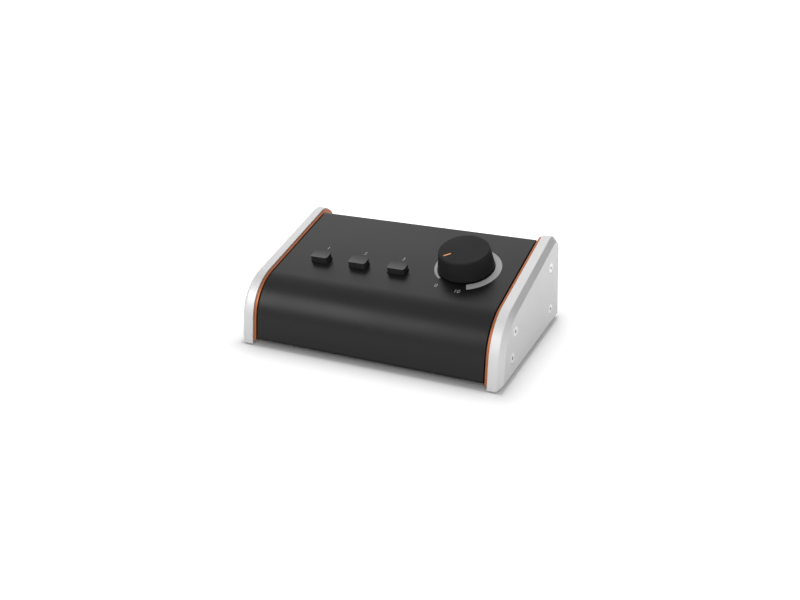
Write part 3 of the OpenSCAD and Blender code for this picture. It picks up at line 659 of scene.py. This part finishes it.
class CONTROLLER_OT_cover(PieceOperator, Operator):
    """Build the bent sheet cover with its windows"""

    bl_idname = "controller.cover"
    bl_label = "Cover"

    def execute(self, context):
        low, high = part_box("top_cover")
        toe, crest, rear, _ = wedge_corners(0, low.z, high.y)
        lip = (rear[0], slope_height(rear[0], 0) - REAR_LIP)
        sill = (front_place(low.z, 0) + FLOOR_LIP, low.z)
        outside = [sill, toe, crest, rear, lip]
        radii = [0, FOLD_RADIUS, SHOULDER_RADIUS - COVER_STEP, FOLD_RADIUS, 0]
        mesh = bmesh.new()
        verts = [mesh.verts.new((low.x, p.x, p.y)) for p in rounded_line(outside, radii)]
        edges = [mesh.edges.new(pair) for pair in zip(verts, verts[1:])]
        made = bmesh.ops.extrude_edge_only(mesh, edges=edges)["geom"]
        moved = [v for v in made if isinstance(v, bmesh.types.BMVert)]
        bmesh.ops.translate(mesh, verts=moved, vec=(high.x - low.x, 0, 0))
        bmesh.ops.recalc_face_normals(mesh, faces=mesh.faces)
        panel = max(mesh.faces, key=lambda face: face.calc_area())
        if panel.normal.z < 0:
            bmesh.ops.reverse_faces(mesh, faces=mesh.faces)
        bmesh.ops.solidify(mesh, geom=mesh.faces[:], thickness=COVER_THICKNESS)
        bmesh.ops.recalc_face_normals(mesh, faces=mesh.faces)
        mesh = carved(mesh, self.windows())
        finished("top_cover_sheet", mesh, cover_paint(), "top_cover", shape().sheet_edge)
        return {"FINISHED"}

    def windows(self):
        reach = 2 * COVER_THICKNESS
        cutters = []
        for i in BUTTONS:
            place, (width, depth) = cap_place(i)
            window = rounded_box(width + 2 * BUTTON_GAP, depth + 2 * BUTTON_GAP, BUTTON_CORNER + BUTTON_GAP,
                                 -reach, reach)
            cutters.append(placed(window, place))
        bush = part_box("pot_bush")
        radius = (bush[1].x - KNOB_PLACE.x) / 2 + HOLE_CLEARANCE
        hole = bmesh.new()
        bmesh.ops.create_cone(hole, cap_ends=True, segments=HOLE_STEPS, radius1=radius, radius2=radius,
                              depth=2 * reach)
        cutters.append(placed(hole, PANEL))
        return joined(cutters)


def cap_place(i):
    """The panel's frame at a button's middle, and the width and depth of its cap."""
    low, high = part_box(f"button_cap_{i}")
    middle = (low + high) / 2
    local = PANEL.inverted() @ middle
    width = high.x - low.x
    rise = frame_rise(f"button_cap_{i}")
    depth = rise[1].y - rise[0].y
    return PANEL @ Matrix.Translation((local.x, (rise[0].y + rise[1].y) / 2, 0)), (width, depth)


def frame_rise(node):
    """The lowest and highest corner of a node in the panel's frame."""
    back = PANEL.inverted()
    points = [back @ v.co for v in frame["nodes"][node].data.vertices]
    return tuple(Vector([pick(p[i] for p in points) for i in range(3)]) for pick in (min, max))


class CONTROLLER_OT_cheeks(PieceOperator, Operator):
    """Build the two chamfered aluminium cheeks with their countersinks"""

    bl_idname = "controller.cheeks"
    bl_label = "Cheeks"

    def execute(self, context):
        for side, node in ((1, "right_cheek"), (-1, "left_cheek")):
            low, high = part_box("right_cheek")
            corners = wedge_corners(-COVER_STEP, low.z, high.y)
            outline = rounded_line(corners, [0, SHOULDER_RADIUS, REAR_RADIUS, 0])
            mesh = filled(outline, lambda p: (low.x, p.x, p.y))
            rim = pulled(mesh, mesh.faces[:], (high.x - low.x - CHEEK_CHAMFER, 0, 0))
            bmesh.ops.inset_region(mesh, faces=rim, thickness=CHEEK_CHAMFER, use_even_offset=True,
                                   use_boundary=True)
            bmesh.ops.translate(mesh, verts=rim[0].verts, vec=(CHEEK_CHAMFER, 0, 0))
            bmesh.ops.recalc_face_normals(mesh, faces=mesh.faces)
            mesh = carved(mesh, self.countersinks(high.x))
            if side < 0:
                placed(mesh, Matrix.Scale(-1, 4, (1, 0, 0)))
            finished(f"{node}_plate", mesh, blasted_aluminium(), node, shape().cheek_edge)
        return {"FINISHED"}

    def countersinks(self, face):
        cutters = []
        for low, high in islands("cheek_screws"):
            if low.x < 0:
                continue
            middle = (low + high) / 2
            head = (high.y - low.y) / 2 + HOLE_CLEARANCE
            shank = head / 2
            cone = bmesh.new()
            depth = head - shank + 2 * CUT_PAST
            bmesh.ops.create_cone(cone, cap_ends=True, segments=HOLE_STEPS, radius1=shank,
                                  radius2=head + CUT_PAST, depth=depth)
            bmesh.ops.rotate(cone, verts=cone.verts, matrix=Matrix.Rotation(math.pi / 2, 3, "Y"),
                             cent=(0, 0, 0))
            bmesh.ops.translate(cone, verts=cone.verts, vec=(face - depth / 2 + CUT_PAST, middle.y, middle.z))
            cutters.append(cone)
        return joined(cutters)


class CONTROLLER_OT_trim(PieceOperator, Operator):
    """Build the orange spacer plates between cheeks and cover"""

    bl_idname = "controller.trim"
    bl_label = "Spacer plates"

    def execute(self, context):
        step = TRIM_STEP - COVER_STEP
        for node in ("left_trim_plate", "right_trim_plate"):
            low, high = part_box(node)
            corners = wedge_corners(step, low.z, high.y)
            outline = rounded_line(corners, [0, SHOULDER_RADIUS - TRIM_STEP, REAR_RADIUS - TRIM_STEP, 0])
            mesh = plate(outline, low.x, high.x)
            finished(f"{node}_sheet", mesh, orange_anodising(), node, TRIM_EDGE, 2)
        return {"FINISHED"}


class CONTROLLER_OT_knob(PieceOperator, Operator):
    """Build the volume knob, hollow below, and the line set in its top"""

    bl_idname = "controller.knob"
    bl_label = "Volume knob"

    def execute(self, context):
        low, high = frame_rise("volume_knob")
        base, top_height, gap = (high.x - low.x) / 2, high.z, low.z
        top = base - KNOB_TAPER
        ceiling = top_height - KNOB_ROOF
        shell = rounded_line([(0, gap), (0, top_height), (top, top_height), (base, gap)],
                             [0, 0, shape().knob_edge, KNOB_LOWER_EDGE])[1:]
        inside = [(base - KNOB_WALL, gap), (top - KNOB_WALL, ceiling), (KNOB_BOSS, ceiling),
                  (KNOB_BOSS, KNOB_BOSS_FOOT), (0, KNOB_BOSS_FOOT)]
        mesh = turned([(p.x, p.y) for p in shell] + inside)
        line_low, line_high = islands("knob_pointer")[0]
        pointer = PANEL.inverted() @ ((line_low + line_high) / 2)
        turn = Matrix.Rotation(math.atan2(pointer.y, pointer.x), 4, "Z")
        spot = turn @ Matrix.Translation((math.hypot(pointer.x, pointer.y), 0, top_height))
        slot = rounded_box(POINTER_LENGTH, POINTER_WIDTH, POINTER_SLOT_CORNER, -POINTER_DEPTH, POINTER_DEPTH)
        mesh = placed(carved(mesh, placed(slot, spot)), PANEL)
        finished("volume_knob_turned", mesh, knob_black(), "volume_knob", TURNED_EDGE, 2)
        line = rounded_box(POINTER_LENGTH - 2 * POINTER_PLAY, POINTER_WIDTH - 2 * POINTER_PLAY,
                           POINTER_CORNER, -POINTER_DEPTH + POINTER_PLAY, -POINTER_PLAY)
        line = placed(line, PANEL @ spot)
        finished("knob_pointer_line", line, pointer_orange(), "knob_pointer", POINTER_EDGE, 2)
        return {"FINISHED"}


class CONTROLLER_OT_buttons(PieceOperator, Operator):
    """Build the three dished button caps"""

    bl_idname = "controller.buttons"
    bl_label = "Button caps"

    def execute(self, context):
        for i in BUTTONS:
            place, (width, depth) = cap_place(i)
            low, high = frame_rise(f"button_cap_{i}")
            mesh = rounded_box(width, depth, BUTTON_CORNER, low.z, high.z)
            dish = bmesh.new()
            bmesh.ops.create_cone(dish, cap_ends=True, segments=DISH_STEPS, radius1=DISH_RADIUS,
                                  radius2=DISH_RADIUS, depth=2 * width)
            lie = Matrix.Rotation(math.pi / 2, 4, "Y")
            lift = Matrix.Translation((0, 0, high.z + DISH_RADIUS - shape().cap_dish))
            mesh = carved(mesh, placed(dish, lift @ lie))
            finished(f"button_cap_{i}_moulded", placed(mesh, place), cap_black(), f"button_cap_{i}",
                     shape().cap_edge, 4)
        return {"FINISHED"}


class CONTROLLER_OT_print(PieceOperator, Operator):
    """Print the volume scale and plain numbers on the panel"""

    bl_idname = "controller.print"
    bl_label = "Printed marks"

    def execute(self, context):
        s = shape()
        mesh = bmesh.new()
        inner = mesh.verts.new((s.scale_inner, 0, 0))
        outer = mesh.verts.new((s.scale_thin, 0, 0))
        edge = mesh.edges.new((inner, outer))
        sweep = s.scale_start - s.scale_end
        bmesh.ops.rotate(mesh, verts=mesh.verts, cent=(0, 0, 0),
                         matrix=Matrix.Rotation(s.scale_start, 3, "Z"))
        bmesh.ops.spin(mesh, geom=[inner, outer, edge], axis=(0, 0, -1), cent=(0, 0, 0), dvec=(0, 0, 0),
                       angle=sweep, steps=SCALE_STEPS, use_merge=False, use_duplicate=False)
        for vert in mesh.verts:
            radius = vert.co.to_2d().length
            if radius > (s.scale_inner + s.scale_thin) / 2:
                gone = (s.scale_start - math.atan2(vert.co.y, vert.co.x)) % FULL_TURN
                gone = 0 if gone > FULL_TURN - SCALE_END_PLAY else gone
                wanted = s.scale_thin + (s.scale_wide - s.scale_thin) * gone / sweep
                vert.co *= wanted / radius
        pulled(mesh, mesh.faces[:], (0, 0, s.ink))
        finished("volume_scale_print", placed(mesh, PANEL), printed_ink(), "top_cover", stands_for=False)
        self.numbers()
        return {"FINISHED"}

    def numbers(self):
        s = shape()
        for i in BUTTONS:
            behind = Matrix.Translation((-s.numeral_shift, s.numeral_gap, 0))
            self.number(f"button_number_{i}_print", str(i), cap_place(i)[0] @ behind)
        for name, body, turn in (("low", "0", s.zero_at), ("high", "10", s.ten_at)):
            beside = Matrix.Translation((s.scale_number * math.cos(turn), s.scale_number * math.sin(turn), 0))
            self.number(f"scale_{name}_print", body, PANEL @ beside)

    def number(self, name, body, place):
        s = shape()
        letter = bpy.data.curves.new(name, "FONT")
        letter.body = body
        letter.size = s.numeral / DIGIT_SHARE
        letter.align_x = "CENTER"
        letter.align_y = "CENTER"
        letter.extrude = s.ink / 2
        letter.resolution_u = 6
        text = bpy.data.objects.new("number_text", letter)
        bpy.context.scene.collection.objects.link(text)
        bpy.context.view_layer.update()
        shown = bpy.data.meshes.new_from_object(text.evaluated_get(bpy.context.evaluated_depsgraph_get()))
        mesh = bmesh.new()
        mesh.from_mesh(shown)
        bpy.data.objects.remove(text)
        bpy.data.meshes.remove(shown)
        bpy.data.curves.remove(letter)
        bmesh.ops.remove_doubles(mesh, verts=mesh.verts, dist=MICRON)
        on_panel = place @ Matrix.Translation((0, 0, s.ink / 2))
        finished(name, placed(mesh, on_panel), printed_ink(), "top_cover", stands_for=False)


class CONTROLLER_OT_hardware(PieceOperator, Operator):
    """Dress the tray, screws, feet and rear sockets"""

    bl_idname = "controller.hardware"
    bl_label = "Tray, screws, feet and sockets"

    def execute(self, context):
        dressed = [
            ("chassis_tray", tray_paint, 0.12), ("cheek_screws", zinc_plate, 0.08),
            ("cover_screws", black_oxide, 0.1), ("socket_screws", black_oxide, 0.08),
            ("input_socket_left", socket_black, 0.15), ("input_socket_right", socket_black, 0.15),
            ("input_insert_left", socket_black, 0.12), ("input_insert_right", socket_black, 0.12),
            ("input_latch_left", latch_black, 0.15), ("input_latch_right", latch_black, 0.15),
            ("output_socket_left", socket_black, 0.15), ("output_socket_right", socket_black, 0.15),
            ("output_pins_left", contact_silver, 0), ("output_pins_right", contact_silver, 0),
            ("mini_socket", socket_black, 0.1), ("mini_socket_nut", zinc_plate, 0.08),
            ("foot_front_left", foot_rubber, 0.1), ("foot_front_right", foot_rubber, 0.1),
            ("foot_rear_left", foot_rubber, 0.1), ("foot_rear_right", foot_rubber, 0.1),
        ]
        for node, material, edge in dressed:
            finished(f"{node}_dressed", copied(node), material(), node, edge * MM, 2)
        return {"FINISHED"}


class CONTROLLER_OT_inside(PieceOperator, Operator):
    """Give the pieces inside the case their finishes"""

    bl_idname = "controller.inside"
    bl_label = "Inside"

    def execute(self, context):
        finishes = {
            "zinc_steel": zinc_plate, "shaft_steel": turned_steel, "spacer_brass": spacer_brass,
            "pot_metal": plated_case, "wafer_brown": wafer_brown, "plunger_white": plunger_white,
            "switch_black": switch_black, "board_green": board_green, "ribbon_grey": ribbon_grey,
            "header_black": header_black, "socket_black": socket_black, "latch_black": latch_black,
            "contact_silver": contact_silver, "foot_rubber": foot_rubber, "black_screw": black_oxide,
            "cover_paint": cover_paint, "tray_paint": tray_paint, "cheek_metal": blasted_aluminium,
            "trim_orange": orange_anodising, "knob_black": knob_black, "pointer_orange": pointer_orange,
            "button_black": cap_black,
        }
        for node, part in frame["nodes"].items():
            material = finishes[slot_of(node)]()
            for place in part.material_slots:
                place.material = material
        return {"FINISHED"}


def seen_rays(tree):
    """A socket that is 1 for the rays of the camera, of reflections and of clear materials."""
    path = node_in(tree, "ShaderNodeLightPath")
    either = node_in(tree, "ShaderNodeMath", operation="MAXIMUM")
    any_of = node_in(tree, "ShaderNodeMath", operation="MAXIMUM")
    tree.links.new(path.outputs["Is Camera Ray"], either.inputs[0])
    tree.links.new(path.outputs["Is Glossy Ray"], either.inputs[1])
    tree.links.new(either.outputs["Value"], any_of.inputs[0])
    tree.links.new(path.outputs["Is Transmission Ray"], any_of.inputs[1])
    return any_of.outputs["Value"]


class CONTROLLER_OT_stage(PieceOperator, Operator):
    """Set up the floor, the lamps and the camera"""

    bl_idname = "controller.stage"
    bl_label = "Stage"

    def execute(self, context):
        self.floor()
        self.camera(context)
        self.lamps()
        self.room(context)
        context.scene.view_settings.view_transform = "Standard"
        return {"FINISHED"}

    def floor(self):
        mesh = bmesh.new()
        bmesh.ops.create_grid(mesh, x_segments=1, y_segments=1, size=FLOOR_REACH)
        floor = new_object("floor", mesh)
        material = bpy.data.materials.new("floor_paper")
        material.use_nodes = True
        tree = material.node_tree
        shader = tree.nodes["Principled BSDF"]
        shader.inputs["Base Color"].default_value = (*stage().floor, 1)
        shader.inputs["Roughness"].default_value = 0.9
        shader.inputs["Specular IOR Level"].default_value = 0.1
        # Painted shade: the floor glows white for the camera and reflections, and glows less and less towards the
        # object's footprint.
        lift = node_in(tree, "ShaderNodeMath", operation="MULTIPLY")
        shader.inputs["Emission Color"].default_value = (1, 1, 1, 1)
        tree.links.new(seen_rays(tree), lift.inputs[0])
        tree.links.new(self.lift(tree), lift.inputs[1])
        tree.links.new(lift.outputs["Value"], shader.inputs["Emission Strength"])
        floor.data.materials.append(material)

    def lift(self, tree):
        """A socket that rises from 0 at the edge of the object's footprint: the floor's glow, kept low near the
        object as a painted shade round it, on top of its real shadow.
        """
        place = node_in(tree, "ShaderNodeTexCoord")
        folded = node_in(tree, "ShaderNodeVectorMath", operation="ABSOLUTE")
        beyond = node_in(tree, "ShaderNodeVectorMath", {1: CAD_BOUNDS[1]}, operation="SUBTRACT")
        outside = node_in(tree, "ShaderNodeVectorMath", {1: (0, 0, 0)}, operation="MAXIMUM")
        away = node_in(tree, "ShaderNodeVectorMath", operation="LENGTH")
        share = node_in(tree, "ShaderNodeMapRange", {"From Max": stage().lift_reach})
        rise = node_in(tree, "ShaderNodeMath", {1: LIFT_POWER}, operation="POWER")
        strength = node_in(tree, "ShaderNodeMath", {1: stage().floor_lift}, operation="MULTIPLY")
        tree.links.new(place.outputs["Object"], folded.inputs[0])
        tree.links.new(folded.outputs["Vector"], beyond.inputs[0])
        tree.links.new(beyond.outputs["Vector"], outside.inputs[0])
        tree.links.new(outside.outputs["Vector"], away.inputs[0])
        tree.links.new(away.outputs["Value"], share.inputs["Value"])
        tree.links.new(share.outputs["Result"], rise.inputs[0])
        tree.links.new(rise.outputs["Value"], strength.inputs[0])
        return strength.outputs["Value"]

    def camera(self, context):
        s = stage()
        data = bpy.data.cameras.new("camera")
        data.sensor_width = 36
        data.lens = s.lens
        data.shift_y = s.shift_up
        camera = bpy.data.objects.new("camera", data)
        context.scene.collection.objects.link(camera)
        camera.matrix_world = (Matrix.Translation(s.camera_place) @ Matrix.Rotation(s.camera_yaw, 4, "Z")
                               @ Matrix.Rotation(math.pi / 2 + s.camera_pitch, 4, "X")
                               @ Matrix.Rotation(s.camera_roll, 4, "Z"))
        context.scene.camera = camera

    def lamps(self):
        self.lamp("top", (-0.1, 0.35, 1.15), 1.1, stage().top_lamp, reflected=False)
        self.lamp("back", (-0.34, 0.74, 0.78), 0.9, stage().back_lamp)
        self.lamp("band", (-0.58, -0.72, 0.64), 0.5, stage().band_lamp, diffused=False)
        self.lamp("side", (0.35, -0.95, 0.55), 0.8, stage().side_lamp)
        self.card("right_card", (0.75, 0.80, 0.52), 0.9)

    def card(self, name, place, size):
        """A dark square card that only reflections see."""
        mesh = bmesh.new()
        bmesh.ops.create_grid(mesh, x_segments=1, y_segments=1, size=size / 2)
        aim = (STAGE_MIDDLE - Vector(place)).to_track_quat("-Z", "Y")
        card = new_object(name, placed(mesh, Matrix.Translation(place) @ aim.to_matrix().to_4x4()))
        material = bpy.data.materials.new("black_card")
        material.use_nodes = True
        shader = material.node_tree.nodes["Principled BSDF"]
        shader.inputs["Base Color"].default_value = (0.02, 0.02, 0.02, 1)
        shader.inputs["Roughness"].default_value = 1.0
        card.data.materials.append(material)
        card.visible_camera = False
        card.visible_diffuse = False
        card.visible_shadow = False

    def lamp(self, name, place, size, power, reflected=True, diffused=True):
        data = bpy.data.lights.new(name, "AREA")
        data.shape = "SQUARE"
        data.size = size
        data.energy = power
        lamp = bpy.data.objects.new(name, data)
        bpy.context.scene.collection.objects.link(lamp)
        aim = (STAGE_MIDDLE - Vector(place)).to_track_quat("-Z", "Y")
        lamp.matrix_world = Matrix.Translation(place) @ aim.to_matrix().to_4x4()
        lamp.visible_glossy = reflected
        lamp.visible_diffuse = diffused

    def room(self, context):
        world = bpy.data.worlds.new("room")
        world.use_nodes = True
        context.scene.world = world
        tree = world.node_tree
        back = tree.nodes["Background"]
        back.inputs["Color"].default_value = (1, 1, 1, 1)
        pick = node_in(tree, "ShaderNodeMix", {"A": stage().room, "B": 1.0}, data_type="FLOAT")
        tree.links.new(seen_rays(tree), pick.inputs["Factor"])
        tree.links.new(pick.outputs["Result"], back.inputs["Strength"])


PIECE_OPERATORS = (CONTROLLER_OT_stage, CONTROLLER_OT_inside, CONTROLLER_OT_cover, CONTROLLER_OT_cheeks,
                   CONTROLLER_OT_trim, CONTROLLER_OT_knob, CONTROLLER_OT_buttons, CONTROLLER_OT_print,
                   CONTROLLER_OT_hardware)


class VIEW3D_PT_controller(Panel):
    """Lists the pieces in the 3D view's sidebar"""

    bl_label = "Monitor controller"
    bl_space_type = "VIEW_3D"
    bl_region_type = "UI"
    bl_category = "Controller"

    def draw(self, context):
        for operator in PIECE_OPERATORS:
            self.layout.operator(operator.bl_idname)
        for group in (shape(), finish(), stage()):
            box = self.layout.box()
            for name in group.__annotations__:
                box.prop(group, name)


SETTINGS = {"controller_shape": ControllerShape, "controller_finish": ControllerFinish,
            "controller_stage": ControllerStage}


def register():
    for group in (*SETTINGS.values(), *PIECE_OPERATORS, VIEW3D_PT_controller):
        bpy.utils.register_class(group)
    for name, group in SETTINGS.items():
        setattr(bpy.types.Scene, name, PointerProperty(type=group))


def unregister():
    for name in SETTINGS:
        delattr(bpy.types.Scene, name)
    for group in (VIEW3D_PT_controller, *reversed(PIECE_OPERATORS), *SETTINGS.values()):
        bpy.utils.unregister_class(group)


def main():
    register()
    bpy.ops.controller.stage()
    bpy.ops.controller.inside()
    bpy.ops.controller.cover()
    bpy.ops.controller.cheeks()
    bpy.ops.controller.trim()
    bpy.ops.controller.knob()
    bpy.ops.controller.buttons()
    bpy.ops.controller.print()
    bpy.ops.controller.hardware()


if __name__ == "__main__":
    main()
